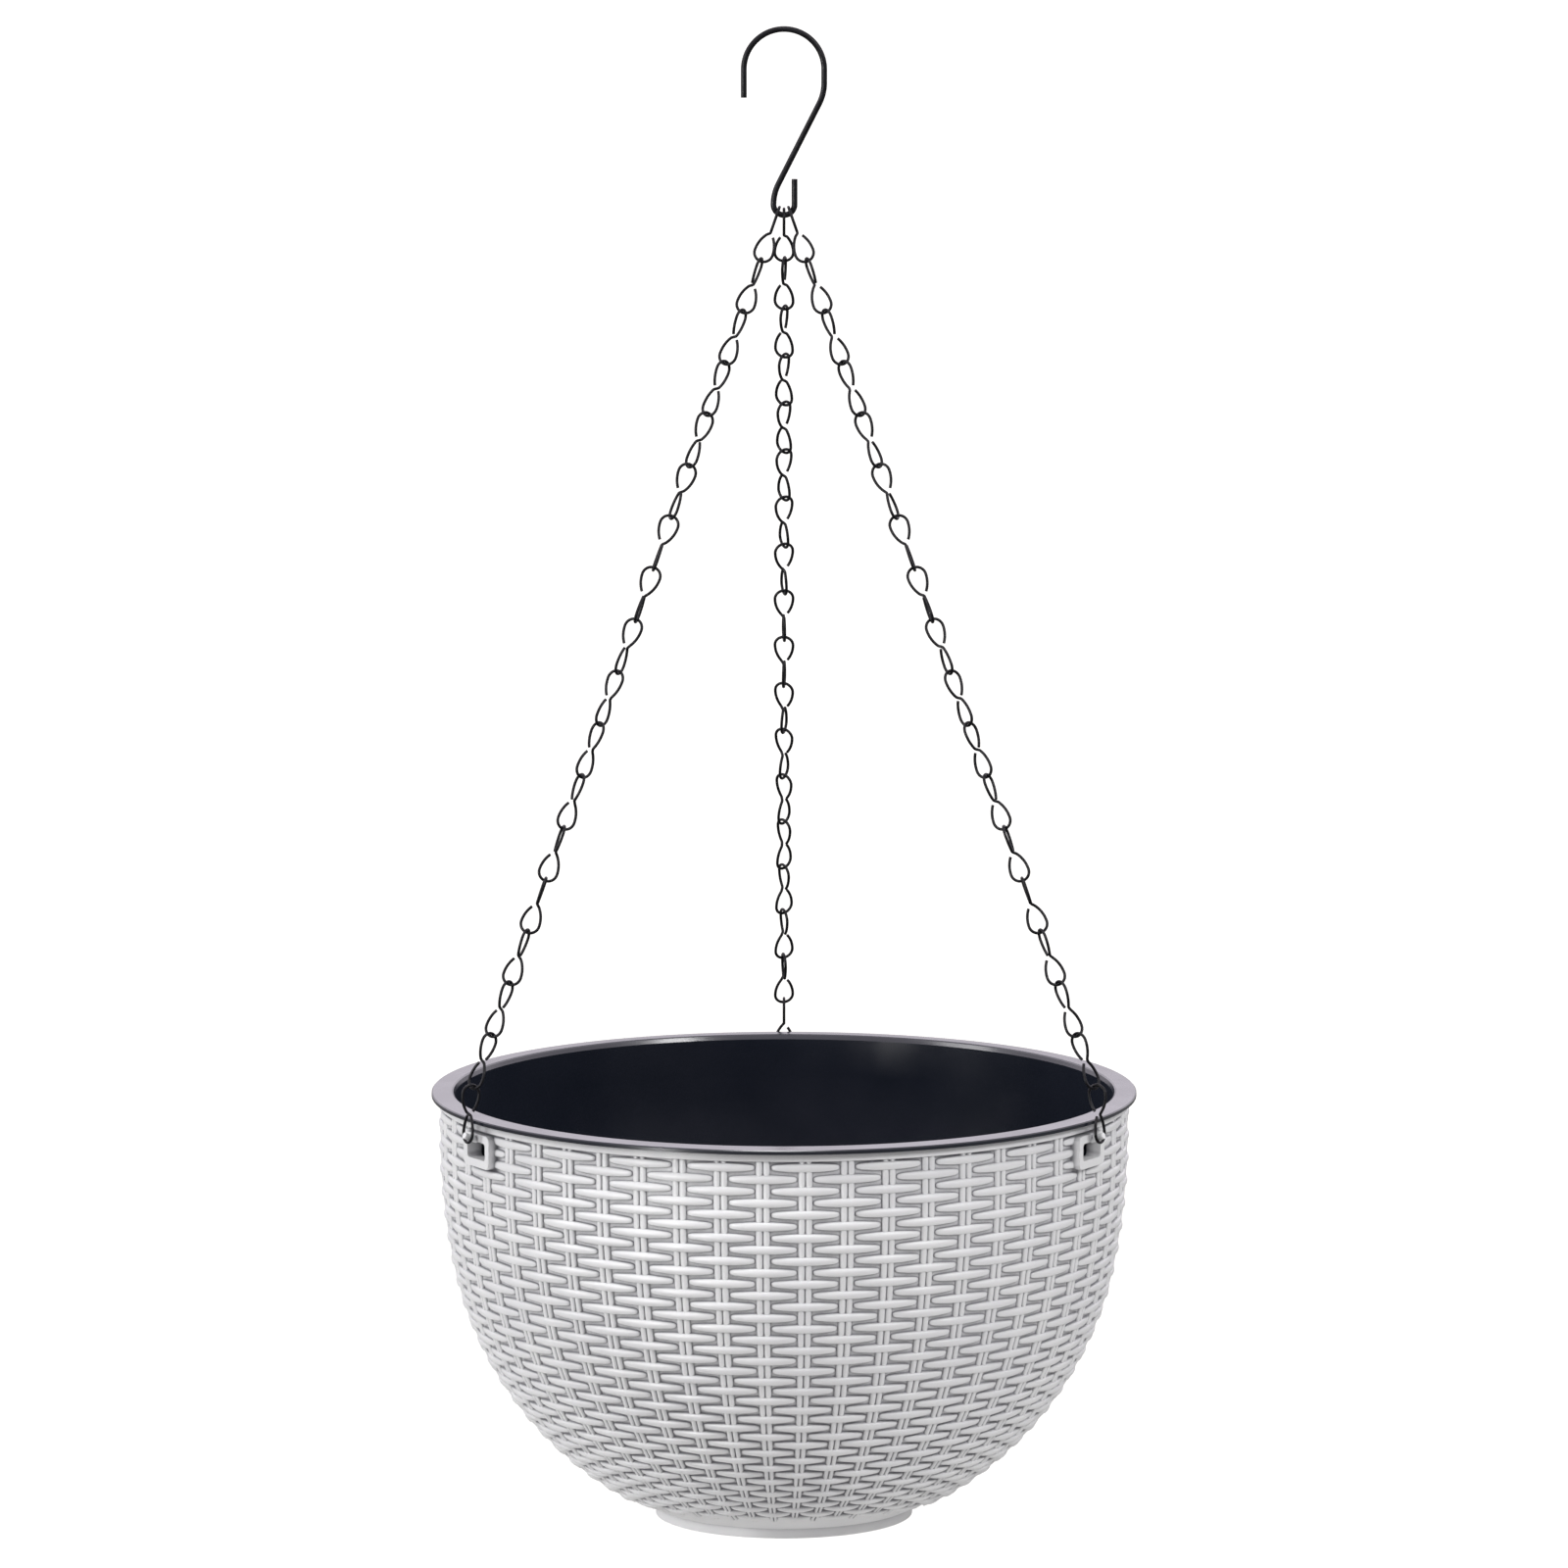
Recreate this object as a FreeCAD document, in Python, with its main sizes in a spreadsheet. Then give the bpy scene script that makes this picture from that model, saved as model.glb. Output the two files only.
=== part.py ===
"""Hanging planter basket: white woven-look outer basket, black inner liner, S-hook and
three jack chains of bent-wire links.  Millimetres, +Z up, origin where a bar carries the
hook: the inside of the hook's upper crook.  The chains stand at azimuths 90 (rear),
210 (left) and 330 (right) degrees.
"""
import FreeCAD, Part
import math
import os

import Sketcher

Vector = FreeCAD.Vector
Rotation = FreeCAD.Rotation
Placement = FreeCAD.Placement
TINY = 0.001  # lengths below this count as nothing, mm
LEAST_CUT = 1.0  # least volume that a pocket takes away, cubic mm

doc = FreeCAD.newDocument("hanging_basket")

# ---------------------------------------------------------------- driving dimensions
DIMENSIONS = [
    # S-hook, bent from round wire
    ("hook_wire", 2.2, "hook wire diameter"),
    ("hook_top_bend", 14.9, "upper crook bend radius, wire centre"),
    ("hook_tip_length", 10.5, "straight end of the upper crook"),
    ("hook_side_length", 5.0, "straight side below the upper bend"),
    ("hook_shank_bend", 17.0, "bend radius at both ends of the slanting shank"),
    ("hook_low_bend", 3.9, "lower crook bend radius, wire centre"),
    ("hook_low_tip", 9.5, "straight end of the lower crook"),
    ("hook_drop", 67.9, "origin down to the wire centre in the lower crook"),
    # jack chain, three lengths of bent-wire links
    ("chain_wire", 1.1, "chain wire diameter"),
    ("link_pitch", 20.3, "pitch of the links"),
    ("link_count", 18, "links in each chain"),
    ("link_loop_bend", 3.45, "bend radius of a link's loops, wire centre"),
    ("link_waist_offset", 1.4, "waist strands from the link's middle line"),
    ("link_waist_rise", 0.9, "waist strand ends above and below the middle"),
    ("link_corner", 0.5, "rounding of the waist's corners, along the wire"),
    ("link_play", 0.03, "play between one link and the next"),
    ("chain_seat_angle", 38.0, "side chains' seats round the lower crook, degrees"),
    ("seat_gap", 2.25, "hook wire's centre to the centre of a first loop's top wire"),
    ("rear_chain_twist", 180.0, "turn of the rear chain along its length, degrees"),
    ("side_chain_twist", 240.0, "turn of the side chains along their length, degrees"),
    ("last_link_tilt", 5.0, "last link from the vertical, degrees"),
    ("last_loop_radius", 135.0, "bottom of the last loop from the basket's axis"),
    ("last_loop_depth", 8.7, "bottom of the last loop below the rim plane"),
    # outer basket, a moulded shell
    ("basket_top", 1.95, "top of the basket below the rim plane"),
    ("band_radius", 129.5, "plain band under the flange"),
    ("band_bottom", 4.9, "bottom of the plain band below the rim plane"),
    ("ground_radius", 127.9, "smooth ground of the weave at the top"),
    ("side_top", 16.8, "start of the side's curve below the rim plane"),
    ("side_bend", 249.7, "radius of the gently curved upper side"),
    ("side_angle", 11.2, "turn of the upper side, degrees"),
    ("bowl_bend", 129.5, "radius of the bowl-shaped lower side"),
    ("basket_wall", 2.3, "wall of the outer basket"),
    ("foot_radius", 48.5, "outside of the foot ring"),
    ("foot_width", 4.0, "width of the foot ring"),
    ("foot_bottom", 162.1, "foot below the rim plane"),
    ("floor_bottom", 159.2, "underside of the basket's floor below the rim plane"),
    # framed windows and chain lugs under the rim
    ("window_width", 13.5, "window opening across"),
    ("window_height", 6.5, "window opening up and down"),
    ("window_centre", 11.95, "middle of the window below the rim plane"),
    ("window_corner", 1.2, "corner radius of the opening"),
    ("frame_border", 3.0, "width of the window's frame"),
    ("frame_corner", 2.4, "outer corner radius of the frame"),
    ("frame_face", 131.4, "front of the frame from the basket's axis"),
    ("frame_setback", 0.2, "back of the frame outside the wall's inner face"),
    ("lug_wire", 2.4, "chain lug diameter"),
    ("lug_play", 0.3, "play between the lug and the last loop"),
    ("lug_length", 9.6, "chain lug length"),
    ("lug_root", 127.4, "root of the chain lug from the basket's axis"),
    # inner liner pot
    ("liner_wall", 1.5, "wall of the liner"),
    ("liner_gap", 0.5, "gap between liner and basket"),
    ("liner_depth", 115.8, "liner's underside below the rim plane"),
    ("liner_corner", 9.0, "bend between the liner's side and floor, outside"),
    ("flange_radius", 132.4, "outside of the flange"),
    ("flange_edge", 1.85, "bottom of the flange below the rim plane"),
    ("flange_fall", 0.25, "flange's outer shoulder below its crown"),
    ("flange_round", 0.4, "bevel round the flange's outer edge"),
    ("flange_slope", 0.6, "slope inside the flange's inner edge, across"),
    ("flange_lip", 0.4, "flange's inner edge below its crown"),
    ("flange_crown", 124.8, "crown of the flange from the basket's axis"),
    ("liner_hole", 3.0, "radius of the liner's drain holes"),
    ("liner_hole_ring", 42.0, "radius of the ring of drain holes"),
    ("liner_hole_count", 6, "drain holes in the ring"),
    # drain plug in the basket's floor
    ("drain_radius", 6.0, "drain hole in the basket's floor"),
    ("plug_play", 0.06, "radial play of the plug's stem"),
    ("plug_head", 9.0, "radius of the plug's head"),
    ("plug_head_height", 2.0, "height of the plug's head"),
    ("plug_head_bevel", 0.4, "bevel on the head's edge"),
    ("plug_stem_length", 5.2, "length of the plug's stem"),
    ("plug_bevel", 1.0, "bevel on the stem's end"),
    ("plug_slot_width", 2.4, "finger slot across the head"),
    ("plug_slot_depth", 1.0, "depth of the finger slot"),
    ("plug_seat", 0.1, "gap between the plug's head and the floor"),
]

dims = doc.addObject("Spreadsheet::Sheet", "dims")
for row, (alias, value, meaning) in enumerate(DIMENSIONS, start=1):
    dims.set(f"A{row}", meaning)
    dims.set(f"B{row}", str(value))
    dims.setAlias(f"B{row}", alias)
doc.recompute()


def size(expression):
    """Number that an expression over the sheet's names comes to."""
    result = dims.evalExpression(expression)
    return float(getattr(result, "Value", result))


# ---------------------------------------------------------------- sketch and body helpers
def new_body(name):
    return doc.addObject("PartDesign::Body", name)


def origin_plane(body, role):
    return next(item for item in body.Origin.OriginFeatures if item.Role == role)


def new_sketch(body, name, role, lift="0", turn=0.0):
    """Sketch on one of the body's origin planes, turned about the plane's vertical.

    The sketch then moves along its own normal by lift.
    """
    sketch = body.newObject("Sketcher::SketchObject", name)
    sketch.AttachmentSupport = [(origin_plane(body, role), "")]
    sketch.MapMode = "FlatFace"
    sketch.AttachmentOffset = Placement(Vector(), Rotation(Vector(0, 1, 0), turn))
    sketch.setExpression(".AttachmentOffset.Base.x", f"({lift}) * sin({turn} * 1 deg)")
    sketch.setExpression(".AttachmentOffset.Base.z", f"({lift}) * cos({turn} * 1 deg)")
    doc.recompute()
    return sketch


def bind(sketch, kind, geometry, expression, point=None):
    """Driving constraint whose value is an expression over the sheet."""
    value = size(expression)
    places = (geometry,) if point is None else (geometry, point)
    index = sketch.addConstraint(Sketcher.Constraint(kind, *places, value))
    sketch.setExpression(f"Constraints[{index}]", expression)


def hold_point(sketch, geometry, point, across, along):
    """Keeps a sketch point at (across, along), both expressions over the sheet."""
    vertical_axis = -2
    if across == "0":
        sketch.addConstraint(Sketcher.Constraint("PointOnObject", geometry, point, vertical_axis))
    else:
        bind(sketch, "DistanceX", geometry, across, point)
    bind(sketch, "DistanceY", geometry, along, point)


def arc_between(start, end, radius, side):
    """Minor arc from start to end; side +1 turns left along the way, -1 turns right."""
    chord = end - start
    half = chord.Length / 2
    reach = math.sqrt(max(radius**2 - half**2, 0.0))
    left = Vector(-chord.y, chord.x, 0).normalize()
    centre = (start + end) * 0.5 + left * reach * side
    bulge = (start + end) * 0.5 - centre
    if bulge.Length < TINY:
        bulge = left * -side
    middle = centre + bulge.normalize() * radius
    return Part.Arc(start, middle, end)


def draw_outline(sketch, corners, closed=True):
    """Lines and arcs through corners (across, along[, radius, side]).

    Every corner is held by expressions; radius and side shape the run to the next corner.
    """
    points = [Vector(size(corner[0]), size(corner[1]), 0) for corner in corners]
    runs = len(corners) if closed else len(corners) - 1
    ends = []
    for run in range(runs):
        start, end = points[run], points[(run + 1) % len(points)]
        if len(corners[run]) == 2:
            sketch.addGeometry(Part.LineSegment(start, end))
            ends.append((1, 2))
            continue
        _, _, radius, side = corners[run]
        arc = sketch.addGeometry(arc_between(start, end, size(radius), side))
        ends.append((1, 2) if side > 0 else (2, 1))
        bind(sketch, "Radius", arc, radius)
    for run in range(runs):
        following = (run + 1) % runs
        if closed or run + 1 < runs:
            joint = (run, ends[run][1], following, ends[following][0])
            sketch.addConstraint(Sketcher.Constraint("Coincident", *joint))
        hold_point(sketch, run, ends[run][0], *corners[run][:2])
    if not closed:
        hold_point(sketch, runs - 1, ends[-1][1], *corners[-1][:2])
    doc.recompute()


def draw_rounded_rectangle(sketch, width, height, centre, corner):
    """Rectangle with round corners, centred on the sketch's vertical axis at centre."""
    half = f"({width}) / 2"
    low, high = f"{centre} - ({height}) / 2", f"{centre} + ({height}) / 2"
    inset = f"({half} - {corner})"
    draw_outline(sketch, [
        (f"-{inset}", low), (inset, low, corner, 1),
        (half, f"{low} + {corner}"), (half, f"{high} - {corner}", corner, 1),
        (inset, high), (f"-{inset}", high, corner, 1),
        (f"-({half})", f"{high} - {corner}"), (f"-({half})", f"{low} + {corner}", corner, 1),
    ])


def draw_circle(sketch, across, along, radius):
    centre = Vector(size(across), size(along), 0)
    circle = sketch.addGeometry(Part.Circle(centre, Vector(0, 0, 1), size(radius)))
    bind(sketch, "Radius", circle, radius)
    hold_point(sketch, circle, 3, across, along)
    doc.recompute()


def revolve(body, sketch, name):
    solid = body.newObject("PartDesign::Revolution", name)
    solid.Profile = sketch
    solid.ReferenceAxis = (sketch, ["V_Axis"])
    solid.Angle = 360
    doc.recompute()
    return solid


def pad(body, sketch, name, length):
    solid = body.newObject("PartDesign::Pad", name)
    solid.Profile = sketch
    solid.setExpression("Length", length)
    doc.recompute()
    return solid


def pocket(body, sketch, name, length, reverse=False):
    """Cut that must take material away."""
    before = body.Tip.Shape.Volume
    cut = body.newObject("PartDesign::Pocket", name)
    cut.Profile = sketch
    cut.Reversed = reverse
    cut.setExpression("Length", length)
    doc.recompute()
    if cut.Shape.Volume > before - LEAST_CUT:
        raise RuntimeError(f"{name} cuts nothing")
    return cut


def around_axis(body, features, name, count):
    """Repeats features round the body's vertical axis."""
    pattern = body.newObject("PartDesign::PolarPattern", name)
    pattern.Originals = features
    pattern.Axis = (origin_axis(body, "Z_Axis"), [""])
    pattern.Angle = 360
    pattern.setExpression("Occurrences", count)
    body.Tip = pattern
    doc.recompute()
    return pattern


def origin_axis(body, role):
    return next(item for item in body.Origin.OriginFeatures if item.Role == role)


# ---------------------------------------------------------------- where things are
link_height = size("dims.link_pitch + dims.chain_wire + dims.link_play")
AZIMUTHS = {"rear": 90.0, "left": 210.0, "right": 330.0}


def around(azimuth, radius, height):
    angle = math.radians(azimuth)
    return Vector(radius * math.cos(angle), radius * math.sin(angle), height)


def unit(vector):
    return Vector(vector).normalize()


def last_link_direction(azimuth):
    """Downward direction of the last link, which leans out over the flange's edge."""
    tilt = math.radians(size("dims.last_link_tilt"))
    return around(azimuth, math.sin(tilt), -math.cos(tilt))


def last_loop_centre(azimuth):
    """Centre of the last link's upper loop, with the rim plane at height zero."""
    bottom = around(azimuth, size("dims.last_loop_radius"), -size("dims.last_loop_depth"))
    return bottom - last_link_direction(azimuth) * (link_height - size("dims.link_loop_bend"))


# the crook's height above the rim plane comes from the straight run of links
straight_run = size("(dims.link_count - 1) * dims.link_pitch - dims.seat_gap + dims.link_loop_bend")
rear_centre = last_loop_centre(AZIMUTHS["rear"])
crook_height = rear_centre.z + math.sqrt(straight_run**2 - rear_centre.y**2)
rim_height = -size("dims.hook_drop") - crook_height
rim_place = Placement(Vector(0, 0, rim_height), Rotation())


# ---------------------------------------------------------------- S-hook
def make_s_hook():
    """One bent wire: big crook for the bar, slanting shank, small crook for the chains."""
    body = new_body("s_hook")
    top, side, shank = "dims.hook_top_bend", "dims.hook_side_length", "dims.hook_shank_bend"
    low, wire = "dims.hook_low_bend", "dims.hook_wire"
    top_centre = f"({wire} / 2 - {top})"
    low_centre = f"(-dims.hook_drop + {low})"

    # the shank is the common tangent of the two shank bends, which turn opposite ways
    upper_bend = Vector(size(top) - size(shank), size(f"{top_centre} - {side}"), 0)
    lower_bend = Vector(-size(low) + size(shank), size(low_centre), 0)
    between = lower_bend - upper_bend
    slope = math.acos(2 * size(shank) / between.Length)
    normal = unit(Vector(between.x * math.cos(slope) - between.y * math.sin(slope),
                         between.x * math.sin(slope) + between.y * math.cos(slope), 0))
    turn = math.degrees(math.atan2(-normal.y, normal.x))
    across, down = f"cos({turn} * 1 deg)", f"sin({turn} * 1 deg)"

    path = new_sketch(body, "hook_path", "XZ_Plane")
    draw_outline(path, [
        (f"-{top}", f"{top_centre} - dims.hook_tip_length"),
        (f"-{top}", top_centre, top, -1),
        ("0", f"{wire} / 2", top, -1),
        (top, top_centre),
        (top, f"{top_centre} - {side}", shank, -1),
        (f"{top} - {shank} * (1 - {across})", f"{top_centre} - {side} - {shank} * {down}"),
        (f"-{low} + {shank} * (1 - {across})", f"{low_centre} + {shank} * {down}", shank, 1),
        (f"-{low}", low_centre, low, 1),
        ("0", f"{low_centre} - {low}", low, 1),
        (low, low_centre),
        (low, f"{low_centre} + dims.hook_low_tip"),
    ], closed=False)
    section = new_sketch(body, "hook_section", "XY_Plane", f"{top_centre} - dims.hook_tip_length")
    draw_circle(section, f"-{top}", "0 * dims.hook_wire", f"{wire} / 2")
    pipe = body.newObject("PartDesign::AdditivePipe", "hook_wire_sweep")
    pipe.Profile = section
    pipe.Spine = (path, [f"Edge{edge + 1}" for edge in range(len(path.Geometry))])
    doc.recompute()
    return body


# ---------------------------------------------------------------- outer basket
def side_corners(offset, ending_depth=None, foot=None):
    """Corners of the basket's side at an inward offset, top to bottom.

    The side is vertical, then a gentle arc, then the bowl's arc, which ends at a depth or
    at a radius.  All offsets share the arcs' centres.
    """
    gentle = f"(dims.side_bend - {offset})"
    bowl = f"(dims.bowl_bend - {offset})"
    turn = "(dims.side_angle * 1 deg)"
    centre_across = "(dims.ground_radius - dims.side_bend)"
    bowl_across = f"({centre_across} + (dims.side_bend - dims.bowl_bend) * cos{turn})"
    bowl_along = f"(-dims.side_top - (dims.side_bend - dims.bowl_bend) * sin{turn})"
    shoulder = (f"{centre_across} + {gentle} * cos{turn}",
                f"-dims.side_top - {gentle} * sin{turn}", bowl, -1)
    if foot:
        fall = f"sqrt({bowl} * {bowl} - ({foot} - {bowl_across}) * ({foot} - {bowl_across}))"
        end = (foot, f"{bowl_along} - {fall}")
    else:
        rise = f"({ending_depth} + {bowl_along})"
        end = (f"{bowl_across} + sqrt({bowl} * {bowl} - {rise} * {rise})", f"-{ending_depth}")
    start = (f"dims.ground_radius - {offset}", "-dims.side_top", gentle, -1)
    return [start, shoulder, end]


def reverse_corners(corners):
    """The same run walked from bottom to top."""
    flipped = [corners[-1][:2]]
    for corner in reversed(corners[:-1]):
        radius, side = corner[2:]
        flipped[-1] = (*flipped[-1][:2], radius, -side)
        flipped.append(corner[:2])
    return flipped


def make_outer_basket():
    """Revolved shell with foot and drain hole, then three framed windows with lugs."""
    body = new_body("outer_basket")
    inside = "(dims.ground_radius - dims.basket_wall)"
    floor_top = "(dims.floor_bottom - dims.basket_wall)"
    profile = new_sketch(body, "basket_profile", "XZ_Plane")
    draw_outline(profile, [
        (inside, "-dims.basket_top"),
        ("dims.band_radius", "-dims.basket_top"),
        ("dims.band_radius", "-dims.band_bottom"),
        ("dims.ground_radius", "-dims.band_bottom"),
        *side_corners("0 * dims.basket_wall", foot="dims.foot_radius"),
        ("dims.foot_radius", "-dims.foot_bottom"),
        ("dims.foot_radius - dims.foot_width", "-dims.foot_bottom"),
        ("dims.foot_radius - dims.foot_width", "-dims.floor_bottom"),
        ("dims.drain_radius", "-dims.floor_bottom"),
        ("dims.drain_radius", f"-{floor_top}"),
        *reverse_corners(side_corners("dims.basket_wall", ending_depth=floor_top)),
    ])
    revolve(body, profile, "basket_shell")

    # a sketch on the XZ plane faces the front, so the rear window's is not turned
    inner_face = f"({inside} + dims.frame_setback)"
    cut_depth = f"2 * (dims.frame_face - {inside})"
    for side, azimuth in AZIMUTHS.items():
        turn = azimuth - AZIMUTHS["rear"]
        frame = new_sketch(body, f"{side}_frame_outline", "XZ_Plane", "-dims.frame_face", turn)
        draw_rounded_rectangle(frame, "dims.window_width + 2 * dims.frame_border",
                               "dims.window_height + 2 * dims.frame_border",
                               "-dims.window_centre", "dims.frame_corner")
        pad(body, frame, f"{side}_window_frame", f"dims.frame_face - {inner_face}")
        lug = body.newObject("PartDesign::AdditiveCylinder", f"{side}_chain_lug")
        lug.setExpression("Radius", "dims.lug_wire / 2")
        lug.setExpression("Height", "dims.lug_length")
        lug.Placement = lug_place(azimuth)
        doc.recompute()
        opening = new_sketch(body, f"{side}_window_outline", "XZ_Plane", "-dims.frame_face", turn)
        draw_rounded_rectangle(opening, "dims.window_width", "dims.window_height",
                               "-dims.window_centre", "dims.window_corner")
        pocket(body, opening, f"{side}_window_opening", cut_depth, reverse=True)
    body.Placement = rim_place
    return body


def lug_place(azimuth):
    """A lug is square to the pull of its chain, just above the last loop's wire."""
    loop_bottom = around(azimuth, size("dims.last_loop_radius"), -size("dims.last_loop_depth"))
    pull = unit(Vector(0, 0, crook_height) - loop_bottom)
    lift = size("(dims.lug_wire + dims.chain_wire) / 2 + dims.lug_play")
    on_axis = loop_bottom + pull * lift
    outward = around(azimuth, pull.z, math.hypot(pull.x, pull.y))
    reach = math.hypot(on_axis.x, on_axis.y) - size("dims.lug_root")
    root = on_axis - outward * (reach / pull.z)
    return Placement(root, Rotation(Vector(0, 0, 1), outward))


# ---------------------------------------------------------------- inner liner
def circle_edges_at(shape, height, smallest):
    """Names of a shape's round edges at a height that are wider than a radius."""
    names = []
    for number, edge in enumerate(shape.Edges, start=1):
        box = edge.BoundBox
        flat_here = abs(box.ZMin - height) < TINY and abs(box.ZMax - height) < TINY
        if flat_here and box.XMax > smallest:
            names.append(f"Edge{number}")
    return names


def make_inner_liner():
    """Revolved pot hanging by its flange, with drain holes through its floor."""
    body = new_body("inner_liner")
    outer_offset = "(dims.basket_wall + dims.liner_gap)"
    inner_offset = "(dims.basket_wall + dims.liner_gap + dims.liner_wall)"
    floor_top = "(dims.liner_depth - dims.liner_wall)"
    profile = new_sketch(body, "liner_profile", "XZ_Plane")
    draw_outline(profile, [
        ("0", f"-{floor_top}"),
        *reverse_corners(side_corners(inner_offset, ending_depth=floor_top)),
        (f"dims.ground_radius - {inner_offset}", "-dims.flange_edge"),
        (f"dims.ground_radius - {inner_offset} + dims.flange_slope", "-dims.flange_lip"),
        ("dims.flange_crown", "0 * dims.flange_lip"),
        ("dims.flange_radius - dims.flange_round", "-dims.flange_fall"),
        ("dims.flange_radius", "-dims.flange_fall - dims.flange_round"),
        ("dims.flange_radius", "-dims.flange_edge"),
        (f"dims.ground_radius - {outer_offset}", "-dims.flange_edge"),
        *side_corners(outer_offset, ending_depth="dims.liner_depth"),
        ("0", "-dims.liner_depth"),
    ])
    shell = revolve(body, profile, "liner_shell")

    widest_hole = size("dims.liner_hole_ring")
    corner_out = body.newObject("PartDesign::Fillet", "floor_bend_outside")
    corner_out.Base = (shell, circle_edges_at(shell.Shape, -size("dims.liner_depth"), widest_hole))
    corner_out.setExpression("Radius", "dims.liner_corner")
    doc.recompute()
    corner_in = body.newObject("PartDesign::Fillet", "floor_bend_inside")
    corner_in.Base = (corner_out, circle_edges_at(corner_out.Shape, -size(floor_top), widest_hole))
    corner_in.setExpression("Radius", "dims.liner_corner - dims.liner_wall")
    doc.recompute()

    middle = new_sketch(body, "middle_hole", "XY_Plane", "-dims.liner_depth")
    draw_circle(middle, "0 * dims.liner_hole", "0 * dims.liner_hole", "dims.liner_hole")
    pocket(body, middle, "middle_hole_cut", "2 * dims.liner_wall", reverse=True)
    ring = new_sketch(body, "ring_hole", "XY_Plane", "-dims.liner_depth")
    draw_circle(ring, "dims.liner_hole_ring", "0 * dims.liner_hole", "dims.liner_hole")
    ring_cut = pocket(body, ring, "ring_hole_cut", "2 * dims.liner_wall", reverse=True)
    around_axis(body, [ring_cut], "ring_holes", "dims.liner_hole_count")
    body.Placement = rim_place
    return body


# ---------------------------------------------------------------- drain plug
def make_drain_plug():
    """Push-in plug: head under the floor, stem up through the drain hole."""
    body = new_body("drain_plug")
    stem = "(dims.drain_radius - dims.plug_play)"
    head_top = "(-dims.floor_bottom - dims.plug_seat)"
    head_bottom = f"({head_top} - dims.plug_head_height)"
    stem_top = f"({head_top} + dims.plug_stem_length)"
    profile = new_sketch(body, "plug_profile", "XZ_Plane")
    draw_outline(profile, [
        ("0", head_bottom),
        ("dims.plug_head - dims.plug_head_bevel", head_bottom),
        ("dims.plug_head", f"{head_bottom} + dims.plug_head_bevel"),
        ("dims.plug_head", head_top),
        (stem, head_top),
        (stem, f"{stem_top} - dims.plug_bevel"),
        (f"{stem} - dims.plug_bevel", stem_top),
        ("0", stem_top),
    ])
    revolve(body, profile, "plug_solid")
    slot = new_sketch(body, "slot_outline", "XY_Plane", head_bottom)
    draw_outline(slot, [
        ("-2 * dims.plug_head", "-dims.plug_slot_width / 2"),
        ("2 * dims.plug_head", "-dims.plug_slot_width / 2"),
        ("2 * dims.plug_head", "dims.plug_slot_width / 2"),
        ("-2 * dims.plug_head", "dims.plug_slot_width / 2"),
    ])
    pocket(body, slot, "finger_slot", "dims.plug_slot_depth", reverse=True)
    body.Placement = rim_place
    return body


# ---------------------------------------------------------------- chain links
def fillet_arc(before, corner, after, setback):
    """Arc that rounds a corner of a path, meeting both runs a setback from the corner."""
    inward, outward = unit(corner - before), unit(after - corner)
    half_turn = inward.getAngle(outward) / 2
    radius = setback / math.tan(half_turn)
    middle = corner + unit(outward - inward) * (radius / math.cos(half_turn) - radius)
    return Part.Arc(corner - inward * setback, middle, corner + outward * setback)


def link_wire_path():
    """Centre line of a link: upper loop in XZ, lower loop in YZ, ends beside the waist."""
    bend, waist = size("dims.link_loop_bend"), size("dims.link_waist_offset")
    rise = size("dims.link_waist_rise")
    shoulder = link_height / 2 - bend
    drop, pull_in = shoulder - rise, bend - waist
    side_bend = (drop**2 + pull_in**2) / (2 * pull_in)
    half_turn = math.asin(drop / side_bend) / 2
    side_middle = (bend - side_bend + side_bend * math.cos(half_turn),
                   shoulder - side_bend * math.sin(half_turn))

    def loop_points(plane_point):
        """Three arcs' points from the free end round the loop to the waist strand."""
        return [(plane_point(-waist, rise), plane_point(-side_middle[0], side_middle[1]),
                 plane_point(-bend, shoulder)),
                (plane_point(-bend, shoulder), plane_point(0, link_height / 2),
                 plane_point(bend, shoulder)),
                (plane_point(bend, shoulder), plane_point(*side_middle),
                 plane_point(waist, rise))]

    upper = loop_points(lambda across, along: Vector(across, 0, along))
    lower = loop_points(lambda across, along: Vector(0, across, -along))
    lean = 2 * half_turn
    setback = size("dims.link_corner")
    leave = Vector(-math.sin(lean), 0, -math.cos(lean))
    arrive = Vector(0, math.sin(lean), -math.cos(lean))
    start, end = upper[2][2], lower[2][2]
    first_corner, second_corner = start + leave * setback, end - arrive * setback
    first = fillet_arc(start, first_corner, second_corner, setback)
    second = fillet_arc(first_corner, second_corner, end, setback)
    edges = [Part.Arc(*points).toShape() for points in upper]
    edges.append(first.toShape())
    edges.append(Part.LineSegment(first.EndPoint, second.StartPoint).toShape())
    edges.append(second.toShape())
    edges += [Part.Arc(*reversed(points)).toShape() for points in reversed(lower)]
    return Part.Wire(edges)


def make_link_shape():
    """Round wire swept along the link's centre line, bent in space in one piece."""
    path = link_wire_path()
    radius = size("dims.chain_wire / 2")
    first_edge = path.Edges[0]
    start = first_edge.valueAt(first_edge.FirstParameter)
    heading = first_edge.tangentAt(first_edge.FirstParameter)
    section = Part.Face(Part.Wire([Part.Circle(start, heading, radius).toShape()]))
    shape = path.makePipe(section)
    solid = shape.Solids[0] if shape.Solids else Part.Solid(shape)
    expected = math.pi * radius**2 * path.Length
    print(f"link wire: {path.Length:.2f} mm, volume {solid.Volume:.2f} of {expected:.2f}")
    return solid


def link_place(top, down, azimuth, twist):
    """Placement of a link from its top wire's centre, its direction and its twist."""
    up = down * -1
    outward = around(azimuth, 1, 0)
    across = unit(outward - up * outward.dot(up))
    frame = Rotation(across, up.cross(across), up, "ZXY")
    turned = Rotation(up, twist).multiply(frame)
    return Placement(top + down * (link_height / 2), turned)


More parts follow.
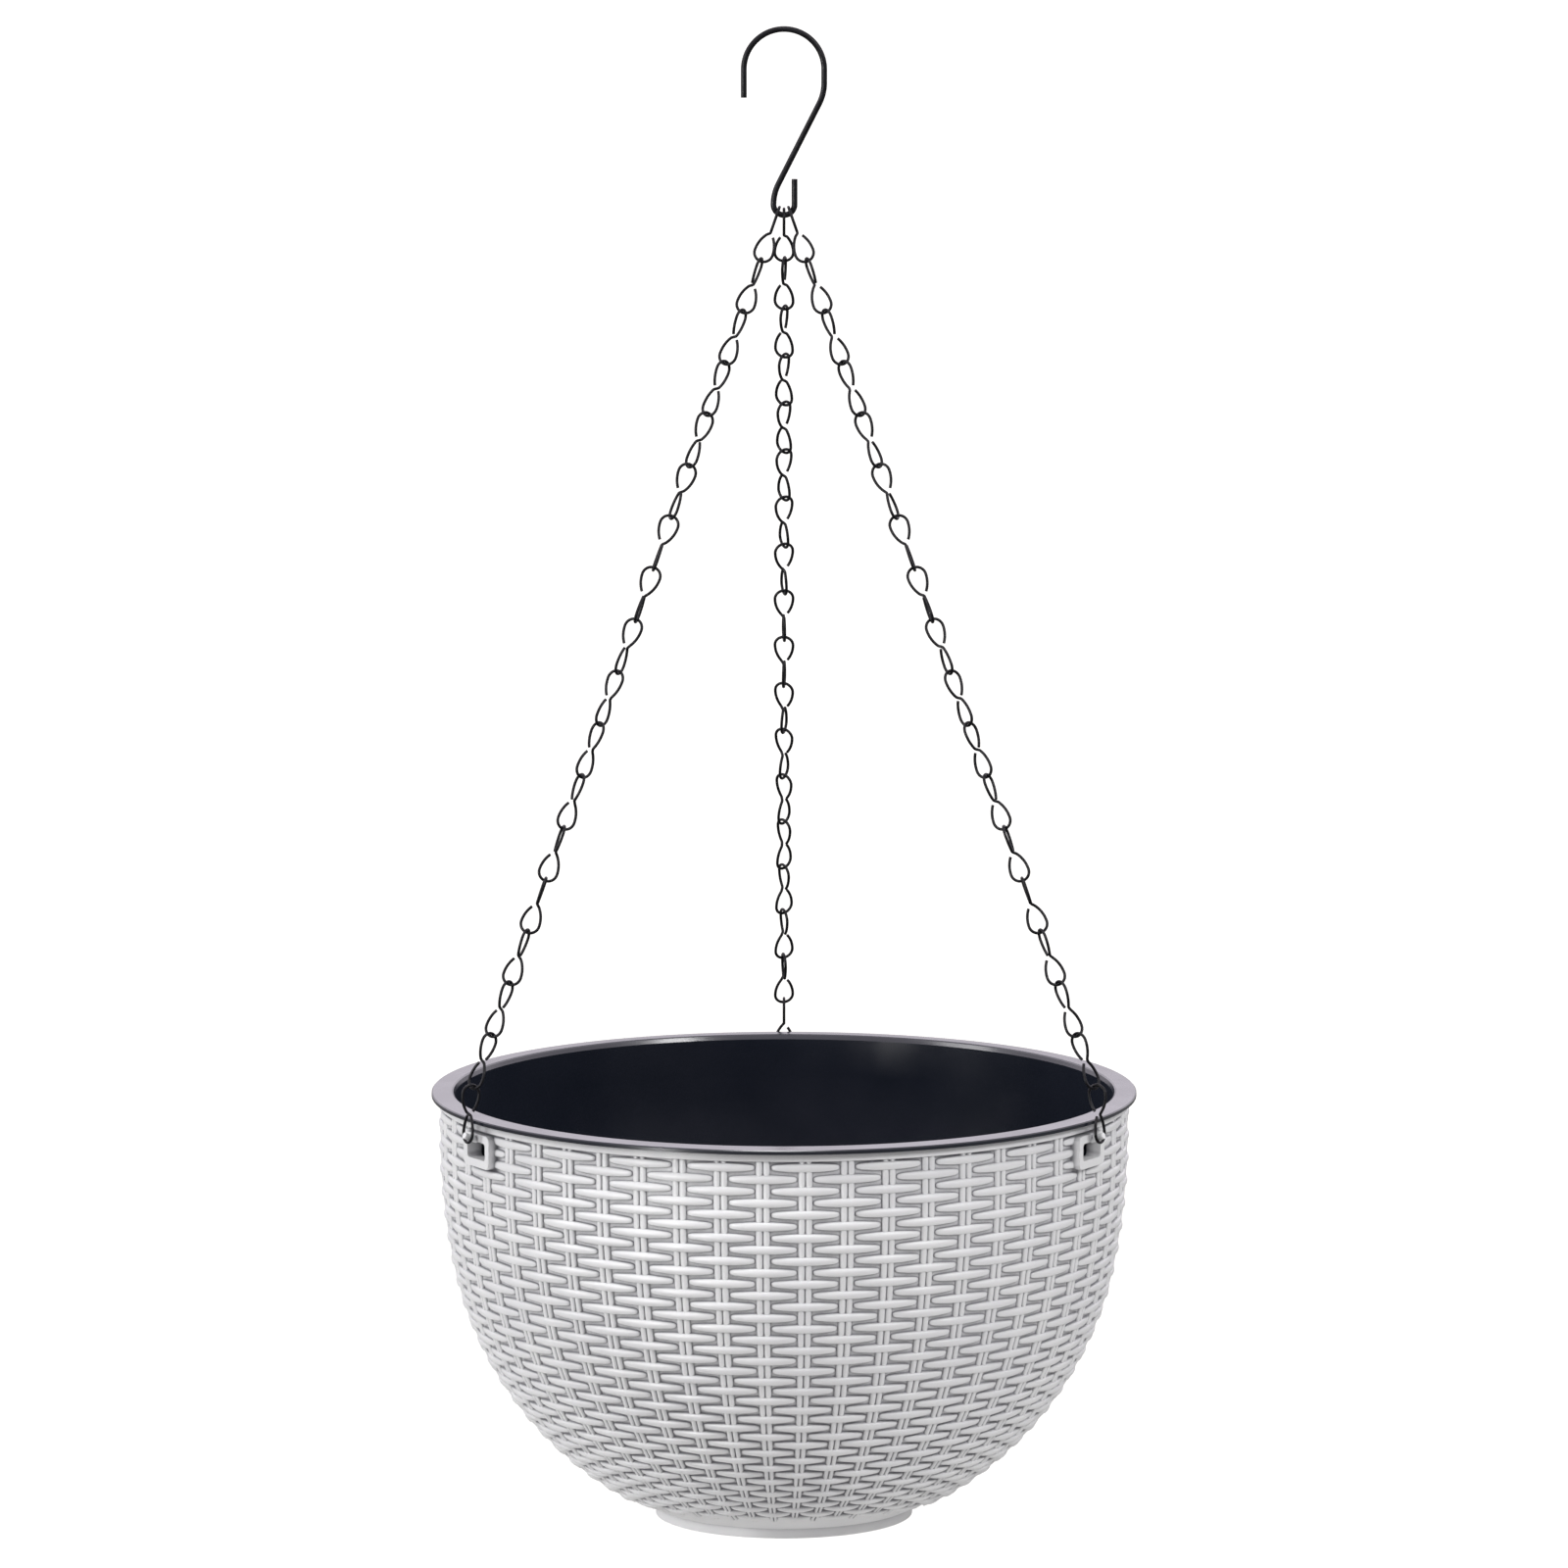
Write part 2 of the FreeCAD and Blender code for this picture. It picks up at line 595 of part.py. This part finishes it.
def crook_seat(side):
    """Point on the lower crook's wire centre that a chain's first loop hangs round."""
    angle = {"rear": 0.0, "left": -1.0, "right": 1.0}[side] * size("dims.chain_seat_angle")
    bend = size("dims.hook_low_bend")
    lift = bend * (1 - math.cos(math.radians(angle)))
    return Vector(bend * math.sin(math.radians(angle)), 0, lift - size("dims.hook_drop"))


def make_chain(side, link_shape):
    """Links hang straight from the crook; the last one leans over the flange to its lug."""
    azimuth = AZIMUTHS[side]
    count, pitch = int(size("dims.link_count")), size("dims.link_pitch")
    last_down = last_link_direction(azimuth)
    loop_centre = rim_place.multVec(last_loop_centre(azimuth))
    bend = size("dims.link_loop_bend")
    down = unit(loop_centre - crook_seat(side))
    side_twist = size("dims.side_chain_twist")
    top_twist = {"rear": size("dims.rear_chain_twist"), "left": side_twist, "right": -side_twist}[side]
    links = []
    for number in range(1, count + 1):
        link = doc.addObject("Part::Feature", f"{side}_chain_link_{number:02d}")
        link.Shape = link_shape.copy()
        direction = down if number < count else last_down
        top = loop_centre - direction * bend - down * (pitch * (count - number))
        twist = top_twist * (count - number) / (count - 1)
        link.Placement = link_place(top, direction, azimuth, twist)
        links.append(link)
    return links


# ---------------------------------------------------------------- build, test and write
parts = [make_s_hook(), make_outer_basket(), make_inner_liner(), make_drain_plug()]
link_shape = make_link_shape()
for chain_side in AZIMUTHS:
    parts += make_chain(chain_side, link_shape)
doc.recompute()

for item in doc.Objects:
    if "Invalid" in item.State or "Error" in item.State:
        raise RuntimeError(f"{item.Name} is {item.State}")
for part in parts:
    part.Label = part.Name
    if part.Shape.isNull() or not part.Shape.isValid() or len(part.Shape.Solids) != 1:
        raise RuntimeError(f"{part.Name} is not one valid solid")

os.makedirs("parts", exist_ok=True)
for part in parts:
    part.Shape.exportStep(f"parts/{part.Label}.step")
print(f"{len(parts)} parts, rim plane at {rim_height:.2f} mm, crook seat at {-size('dims.hook_drop'):.2f} mm")
for part in parts[:4]:
    box = part.Shape.BoundBox
    print(part.Label, [round(v, 2) for v in (box.XMin, box.XMax, box.YMin, box.YMax, box.ZMin, box.ZMax)],
          round(part.Shape.Volume, 1))
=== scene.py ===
"""Looks of a hanging basket planter: woven relief, moulded window frames and finishes.

The basket's sizes are in millimetres, measured from the rim plane and the basket's axis;
place() turns them into the frame's metres.  The materials' depths, the floor, the camera and
the lights are in metres.  The front is at azimuth 270 degrees.
"""

import math

import bpy
import numpy as np
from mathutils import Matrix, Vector


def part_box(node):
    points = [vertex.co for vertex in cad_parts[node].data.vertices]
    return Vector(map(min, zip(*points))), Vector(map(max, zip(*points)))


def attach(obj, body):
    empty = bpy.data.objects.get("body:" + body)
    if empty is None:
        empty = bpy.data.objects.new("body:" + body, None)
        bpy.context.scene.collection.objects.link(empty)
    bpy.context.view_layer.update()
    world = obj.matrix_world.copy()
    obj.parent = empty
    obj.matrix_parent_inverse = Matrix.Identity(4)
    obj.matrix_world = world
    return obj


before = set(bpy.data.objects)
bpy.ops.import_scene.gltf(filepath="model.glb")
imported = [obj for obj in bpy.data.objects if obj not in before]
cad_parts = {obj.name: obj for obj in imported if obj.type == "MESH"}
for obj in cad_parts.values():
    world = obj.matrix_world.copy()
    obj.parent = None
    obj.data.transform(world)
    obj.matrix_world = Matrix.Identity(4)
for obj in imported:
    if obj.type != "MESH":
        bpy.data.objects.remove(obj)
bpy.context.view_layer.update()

MM = 0.001
RIM_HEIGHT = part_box("inner_liner")[1].z
FOOT_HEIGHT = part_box("outer_basket")[0].z
FRONT = math.radians(270)
WINDOW_AZIMUTHS = (90, 210, 330)

# the basket's side, as the design has it: straight, then a gentle bend, then the bowl's bend
GROUND_RADIUS = 127.9
SIDE_TOP = 16.8
SIDE_BEND = 249.7
SIDE_TURN = math.radians(11.2)
BOWL_BEND = 129.5
BAND_BOTTOM = 4.9

# the windows and the frames round them, which the weave stops under
WINDOW_CENTRE = 11.95
WINDOW_WIDTH, WINDOW_HEIGHT = 13.5, 6.5
FRAME_BORDER = 3.0
HIDDEN_HALF_WIDTH = WINDOW_WIDTH / 2 + FRAME_BORDER / 2
HIDDEN_HALF_HEIGHT = WINDOW_HEIGHT / 2 + FRAME_BORDER / 2

# the stakes: pairs of half-round rods, sunk a little into the wall at their roots
STAKES = 52
STAKE_STEP = 2 * math.pi / STAKES
ROD_HALF_WIDTH = math.radians(0.66)
ROD_OFFSET = math.radians(0.57)
ROD_RELIEF = 1.2
ROD_OVERRUN = 0.5
ROOT = -0.3

# the strands: rows of lens-shaped stretches over every other stake
ROWS = 39
FIRST_ROW = 7.3
ROW_STEP = 4.38
STRAND_HALF_LENGTH = STAKE_STEP - math.radians(1.2)
STRAND_HALF_HEIGHT, STRAND_END_HALF_HEIGHT = 1.8, 1.25
STRAND_RELIEF, STRAND_END_RELIEF = 1.9, 0.9
SHORTEST_STRETCH = math.radians(0.3)

# how square the strand's section is, how its crest falls, and how abruptly its ends close
SECTION_WIDTH_POWER, SECTION_RISE_POWER = 0.8, 0.6
CREST_POWER = 1.2
END_POWER = 16

# points of the relief's grids
STRAND_POINTS_ACROSS, STRAND_POINTS_ALONG = 9, 17
ROD_POINTS_ACROSS, ROD_POINTS_ALONG = 7, 64


# ---------------------------------------------------------------- places on the basket
def side_line(distance, lift):
    """Radius and height at a distance down the weave's crest, lifted off the ground."""
    gentle, bowl = SIDE_BEND + STRAND_RELIEF, BOWL_BEND + STRAND_RELIEF
    past_top = np.maximum(distance - SIDE_TOP, 0)
    past_bend = np.maximum(past_top - gentle * SIDE_TURN, 0)
    turn = np.minimum(past_top / gentle, SIDE_TURN) + past_bend / bowl
    bend = np.where(past_bend > 0, BOWL_BEND, SIDE_BEND)
    shift = SIDE_BEND - bend
    radius = GROUND_RADIUS - SIDE_BEND + shift * math.cos(SIDE_TURN) + (bend + lift) * np.cos(turn)
    height = -SIDE_TOP - shift * math.sin(SIDE_TURN) - (bend + lift) * np.sin(turn)
    return radius, height + np.maximum(SIDE_TOP - distance, 0)


def place(azimuth, distance, lift):
    """Points in the frame's metres from azimuth, distance down the side and lift."""
    radius, height = side_line(distance, lift)
    return np.stack([radius * np.cos(azimuth) * MM, radius * np.sin(azimuth) * MM,
                     RIM_HEIGHT + height * MM], axis=-1)


def stake_azimuth(number):
    """Where a stake stands, counted from the first one beside the front."""
    return FRONT + (number + 0.5) * STAKE_STEP


# ---------------------------------------------------------------- mesh helpers
def grid_faces(rows, columns, start):
    """Quads over a grid of points numbered row by row from start."""
    corner = start + np.arange(rows - 1)[:, None] * columns + np.arange(columns - 1)
    quads = np.stack([corner, corner + 1, corner + columns + 1, corner + columns], axis=-1)
    return quads.reshape(-1, 4)


def mesh_from_patches(name, patches):
    """One smooth mesh from grids of points."""
    points, faces = [], []
    start = 0
    for patch in patches:
        rows, columns = patch.shape[:2]
        points.append(patch.reshape(-1, 3))
        faces.append(grid_faces(rows, columns, start))
        start += rows * columns
    mesh = bpy.data.meshes.new(name)
    mesh.from_pydata(np.concatenate(points).tolist(), [], np.concatenate(faces).tolist())
    mesh.polygons.foreach_set("use_smooth", np.ones(len(mesh.polygons), bool))
    mesh.update()
    return link_object(name, mesh)


def link_object(name, data):
    """New object in the scene for a mesh, light or camera."""
    made = bpy.data.objects.new(name, data)
    bpy.context.scene.collection.objects.link(made)
    return made


def finish_piece(piece, body, material):
    """Gives a new piece its material and body."""
    piece.data.materials.append(material)
    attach(piece, body)


# ---------------------------------------------------------------- woven relief
def clear_stretches(low, high, distance, half_height):
    """Parts of an azimuth range that aren't behind a window's frame."""
    if abs(distance - WINDOW_CENTRE) - half_height > HIDDEN_HALF_HEIGHT:
        return [(low, high)]
    half = HIDDEN_HALF_WIDTH / GROUND_RADIUS
    full_turn = 2 * math.pi
    for azimuth in WINDOW_AZIMUTHS:
        centre = math.radians(azimuth)
        centre += full_turn * round((low / 2 + high / 2 - centre) / full_turn)
        if low < centre + half and high > centre - half:
            ends = [(low, centre - half), (centre + half, high)]
            return [(start, end) for start, end in ends if end - start > SHORTEST_STRETCH]
    return [(low, high)]


def strand_patch(middle, distance, start, end):
    """One strand over the stake at middle, drawn from start to end, diving at both ends."""
    around = np.linspace(0, math.pi, STRAND_POINTS_ACROSS)
    across = np.sign(np.cos(around)) * np.abs(np.cos(around)) ** SECTION_WIDTH_POWER
    rise = np.sin(around) ** SECTION_RISE_POWER
    ends = np.clip((np.array([start, end]) - middle) / STRAND_HALF_LENGTH, -1, 1)
    along = np.sin(np.linspace(*np.arcsin(ends), STRAND_POINTS_ALONG))[:, None]
    swell = np.cos(along * math.pi / 2)
    closing = np.sqrt(1 - np.abs(along) ** END_POWER)
    half = STRAND_END_HALF_HEIGHT + (STRAND_HALF_HEIGHT - STRAND_END_HALF_HEIGHT) * swell
    crest = STRAND_END_RELIEF + (STRAND_RELIEF - STRAND_END_RELIEF) * swell**CREST_POWER
    azimuth = middle + along * STRAND_HALF_LENGTH + 0 * across
    lift = ROOT + (crest - ROOT) * closing * rise
    return place(azimuth, distance - half * closing * across, lift)


def strand_patches():
    """Every row's strands, over the even stakes in one row and the odd ones in the next."""
    patches = []
    for row in range(ROWS):
        distance = FIRST_ROW + row * ROW_STEP
        for number in range(row % 2, STAKES, 2):
            middle = stake_azimuth(number)
            low, high = middle - STRAND_HALF_LENGTH, middle + STRAND_HALF_LENGTH
            for start, end in clear_stretches(low, high, distance, STRAND_HALF_HEIGHT):
                patches.append(strand_patch(middle, distance, start, end))
    return patches


def rod_patch(middle, top, bottom):
    """One half-round rod from top to bottom."""
    around = np.linspace(0, math.pi, ROD_POINTS_ACROSS)
    distance = np.linspace(top, bottom, ROD_POINTS_ALONG)[:, None]
    azimuth = middle + ROD_HALF_WIDTH * np.cos(around) + 0 * distance
    lift = ROOT + (ROD_RELIEF - ROOT) * np.sin(around) + 0 * distance
    return place(azimuth, distance + 0 * around, lift)


def stake_patches():
    """Two rods for each stake, from the band, or a window's frame, to the weave's lower edge."""
    bottom = FIRST_ROW + ROWS * ROW_STEP - ROD_OVERRUN
    patches = []
    for number in range(STAKES):
        for side in (-1, 1):
            middle = stake_azimuth(number) + side * ROD_OFFSET
            top = BAND_BOTTOM - ROD_OVERRUN
            if not clear_stretches(middle, middle, WINDOW_CENTRE, 0):
                top = WINDOW_CENTRE + HIDDEN_HALF_HEIGHT
            patches.append(rod_patch(middle, top, bottom))
    return patches


# ---------------------------------------------------------------- materials
def new_material(name, colour, roughness, **sockets):
    """Material, its node tree and its shader, with the named sockets set."""
    material = bpy.data.materials.new(name)
    material.use_nodes = True
    shader = material.node_tree.nodes["Principled BSDF"]
    shader.inputs["Base Color"].default_value = (*colour, 1)
    shader.inputs["Roughness"].default_value = roughness
    for socket, value in sockets.items():
        shader.inputs[socket.replace("_", " ")].default_value = value
    return material, material.node_tree, shader


def node(tree, kind, **values):
    """New node; capitalised names set its sockets, the others its own properties."""
    made = tree.nodes.new(kind)
    for name, value in values.items():
        if name[0].isupper():
            made.inputs[name.replace("_", " ")].default_value = value
        else:
            setattr(made, name, value)
    return made


def noise(tree, scale, detail=2.0):
    """Soft noise that is fixed to the object."""
    where = node(tree, "ShaderNodeTexCoord")
    made = node(tree, "ShaderNodeTexNoise", Scale=scale, Detail=detail)
    tree.links.new(where.outputs["Object"], made.inputs["Vector"])
    return made.outputs["Fac"]


def spread(tree, source, low=0.0, high=1.0):
    """Maps a noise's middle range to low...high."""
    made = node(tree, "ShaderNodeMapRange", From_Min=0.3, From_Max=0.7, To_Min=low, To_Max=high)
    tree.links.new(source, made.inputs["Value"])
    return made.outputs["Result"]


def pick(tree, switch, when_off, when_on):
    """One of two numbers or outputs, by a switch of 0 or 1."""
    made = node(tree, "ShaderNodeMapRange")
    tree.links.new(switch, made.inputs["Value"])
    for socket, value in (("To Min", when_off), ("To Max", when_on)):
        if isinstance(value, float):
            made.inputs[socket].default_value = value
        else:
            tree.links.new(value, made.inputs[socket])
    return made.outputs["Result"]


def blend_colours(tree, factor, *colours):
    """Mix from the first to the second colour; each is a tuple or another node's output."""
    made = node(tree, "ShaderNodeMix", data_type="RGBA")
    tree.links.new(factor, made.inputs["Factor"])
    sockets = [socket for socket in made.inputs if socket.type == "RGBA"]
    for socket, colour in zip(sockets, colours):
        if isinstance(colour, tuple):
            socket.default_value = (*colour, 1)
        else:
            tree.links.new(colour, socket)
    return next(socket for socket in made.outputs if socket.type == "RGBA")


def bump(tree, shader, height, depth, bevel=None):
    """Fine surface relief of a depth in metres."""
    made = node(tree, "ShaderNodeBump", Strength=1.0, Distance=depth)
    tree.links.new(height, made.inputs["Height"])
    if bevel:
        round_edge = node(tree, "ShaderNodeBevel", samples=4, Radius=bevel)
        tree.links.new(round_edge.outputs["Normal"], made.inputs["Normal"])
    tree.links.new(made.outputs["Normal"], shader.inputs["Normal"])


def crevices(tree, reach):
    """0 deep in the narrow gaps of the relief, 1 in the open."""
    made = node(tree, "ShaderNodeAmbientOcclusion", samples=8, Distance=reach)
    return made.outputs["AO"]


def white_plastic(name, bevel=None):
    """Satin moulded plastic with a fine grain and a faint dusty mottle; painted shade darkens its
    crevices.
    """
    fresh, dusty, deep_shade = (0.84, 0.84, 0.85), (0.80, 0.80, 0.82), (0.25, 0.25, 0.27)
    material, tree, shader = new_material(name, fresh, roughness=0.4)
    mottle = blend_colours(tree, spread(tree, noise(tree, scale=45)), dusty, fresh)
    # Painted shade: ambient occlusion darkens the colour toward deep_shade in the relief's narrow
    # gaps.
    painted_shade_mask = node(tree, "ShaderNodeMapRange", From_Min=0.45, From_Max=0.82)
    tree.links.new(crevices(tree, reach=0.004), painted_shade_mask.inputs["Value"])
    shaded = blend_colours(tree, painted_shade_mask.outputs["Result"], deep_shade, mottle)
    tree.links.new(shaded, shader.inputs["Base Color"])
    satin = spread(tree, noise(tree, scale=160), low=0.36, high=0.46)
    tree.links.new(satin, shader.inputs["Roughness"])
    bump(tree, shader, noise(tree, scale=2200, detail=3), depth=0.00002, bevel=bevel)
    return material


def liner_plastic():
    """Glossy black plastic with a faint film of dust."""
    clean, dusty = (0.007, 0.009, 0.015), (0.010, 0.012, 0.019)
    material, tree, shader = new_material("black_liner_plastic", (0.008, 0.009, 0.015), roughness=0.22)
    film = blend_colours(tree, spread(tree, noise(tree, scale=30, detail=4)), clean, dusty)
    tree.links.new(film, shader.inputs["Base Color"])
    gloss = spread(tree, noise(tree, scale=40, detail=3), low=0.19, high=0.25)
    tree.links.new(gloss, shader.inputs["Roughness"])
    bump(tree, shader, noise(tree, scale=1500, detail=3), depth=0.000015)
    return material


def coated_wire(name, roughness):
    """Black wire with a dull coat, a little paler where it is rubbed."""
    coat, rubbed = (0.003, 0.003, 0.004), (0.009, 0.009, 0.011)
    material, tree, shader = new_material(name, (0.005, 0.005, 0.006), roughness,
                                          Specular_IOR_Level=0.12)
    worn = blend_colours(tree, spread(tree, noise(tree, scale=260, detail=4)), coat, rubbed)
    tree.links.new(worn, shader.inputs["Base Color"])
    patchy = spread(tree, noise(tree, scale=700), low=roughness - 0.06, high=roughness + 0.1)
    tree.links.new(patchy, shader.inputs["Roughness"])
    bump(tree, shader, noise(tree, scale=3000), depth=0.00003)
    return material


def plug_rubber():
    """Matt black rubber with a fine speckle."""
    dark, pale = (0.022, 0.022, 0.024), (0.045, 0.045, 0.047)
    material, tree, shader = new_material("black_plug_rubber", (0.03, 0.03, 0.032), roughness=0.7)
    speckle = blend_colours(tree, spread(tree, noise(tree, scale=900, detail=3)), dark, pale)
    tree.links.new(speckle, shader.inputs["Base Color"])
    bump(tree, shader, noise(tree, scale=1800, detail=3), depth=0.00005, bevel=0.0003)
    return material


def dress(node_name, material):
    """Puts a material on a CAD node."""
    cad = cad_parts[node_name]
    cad.data.materials.clear()
    cad.data.materials.append(material)


# ---------------------------------------------------------------- floor, camera and lights
def make_floor():
    """Wide pale floor, far below the basket, which hangs high."""
    drop, reach = 4.5, 120.0
    mesh = bpy.data.meshes.new("floor")
    corners = [(x, y, FOOT_HEIGHT - drop) for x, y in ((-1, -1), (1, -1), (1, 1), (-1, 1))]
    mesh.from_pydata([(x * reach, y * reach, z) for x, y, z in corners], [], [(0, 1, 2, 3)])
    floor = link_object("floor", mesh)
    material, tree, shader = new_material("pale_floor", (0.9, 0.9, 0.9), roughness=0.9,
                                          Specular_IOR_Level=0.1)
    tint = blend_colours(tree, noise(tree, scale=0.6), (0.60, 0.60, 0.60), (0.62, 0.62, 0.62))
    tree.links.new(tint, shader.inputs["Base Color"])
    shader.inputs["Emission Color"].default_value = (1.0, 0.985, 0.96, 1)
    path = node(tree, "ShaderNodeLightPath")
    glow = pick(tree, path.outputs["Is Diffuse Ray"], when_off=0.12, when_on=0.45)
    glow = pick(tree, path.outputs["Is Camera Ray"], when_off=glow, when_on=1.0)
    tree.links.new(glow, shader.inputs["Emission Strength"])
    floor.data.materials.append(material)


def make_camera():
    """Seen from slightly above, far off, with the whole basket and its hook in view."""
    distance, elevation, target_above_rim = 3.70, math.radians(7.97), 0.1155
    data = bpy.data.cameras.new("camera")
    data.sensor_width, data.lens = 36, 227.0
    data.clip_end = 400
    camera = link_object("camera", data)
    back = Vector((0, -math.cos(elevation), math.sin(elevation)))
    camera.location = Vector((0, 0, RIM_HEIGHT + target_above_rim)) + back * distance
    camera.rotation_euler = (-back).to_track_quat("-Z", "Y").to_euler()
    bpy.context.scene.camera = camera


def make_light(name, place_at, size, power, mirrored=True, shading=True):
    """Rectangular softbox, out of sight and aimed at the rim's centre.

    It may be left out of reflections or of shading.
    """
    data = bpy.data.lights.new(name, "AREA")
    data.shape, data.size, data.size_y, data.energy = "RECTANGLE", *size, power
    light = link_object(name, data)
    light.visible_camera = False
    light.visible_glossy = mirrored
    light.visible_diffuse = shading
    light.location = place_at
    aim = Vector((0, 0, RIM_HEIGHT))
    light.rotation_euler = (aim - Vector(place_at)).to_track_quat("-Z", "Y").to_euler()


def make_world():
    """Pale studio: in reflections it brightens just above the horizon; as a fill it is dim."""
    world = bpy.data.worlds.new("studio")
    world.use_nodes = True
    tree = world.node_tree
    background = tree.nodes["Background"]
    path = node(tree, "ShaderNodeLightPath")
    where = node(tree, "ShaderNodeSeparateXYZ")
    tree.links.new(node(tree, "ShaderNodeTexCoord").outputs["Generated"], where.inputs["Vector"])
    glow = node(tree, "ShaderNodeMapRange", From_Min=0.08, From_Max=0.21, To_Min=0.75, To_Max=1.8)
    tree.links.new(where.outputs["Z"], glow.inputs["Value"])
    tint = blend_colours(tree, path.outputs["Is Glossy Ray"], (1.0, 1.0, 1.0), (0.97, 0.91, 1.0))
    tree.links.new(tint, background.inputs["Color"])
    strength = pick(tree, path.outputs["Is Glossy Ray"], when_off=1.0, when_on=glow.outputs["Result"])
    strength = pick(tree, path.outputs["Is Diffuse Ray"], when_off=strength, when_on=0.22)
    tree.links.new(strength, background.inputs["Strength"])
    bpy.context.scene.world = world
    bpy.context.scene.view_settings.view_transform = "Standard"


def make_lights():
    """Softboxes all round, and a narrow strip for the glint inside the liner."""
    make_light("left_softbox", (-2.4, -0.7, 0.4), size=(0.9, 1.6), power=38)
    make_light("right_softbox", (1.9, -2.0, 1.3), size=(0.7, 0.7), power=43)
    make_light("top_softbox", (-0.1, -0.7, 2.2), size=(0.7, 0.7), power=24)
    make_light("rear_softbox", (0.6, 2.4, 0.9), size=(1.6, 1.6), power=30, mirrored=False)
    make_light("front_strip", (-1.9, -2.3, -0.4), size=(0.06, 0.4), power=60, shading=False)


# ---------------------------------------------------------------- build
weave_finish = white_plastic("white_weave_plastic")
for weave_name, patches in (("woven_strands", strand_patches()), ("woven_stakes", stake_patches())):
    finish_piece(mesh_from_patches(weave_name, patches), "basket", weave_finish)

dress("outer_basket", white_plastic("white_basket_plastic", bevel=0.0004))
dress("inner_liner", liner_plastic())
dress("s_hook", coated_wire("black_hook_wire", roughness=0.3))
dress("drain_plug", plug_rubber())
chain_finish = coated_wire("black_chain_wire", roughness=0.32)
for cad_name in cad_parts:
    if "_chain_link_" in cad_name:
        dress(cad_name, chain_finish)

make_floor()
make_camera()
make_world()
make_lights()
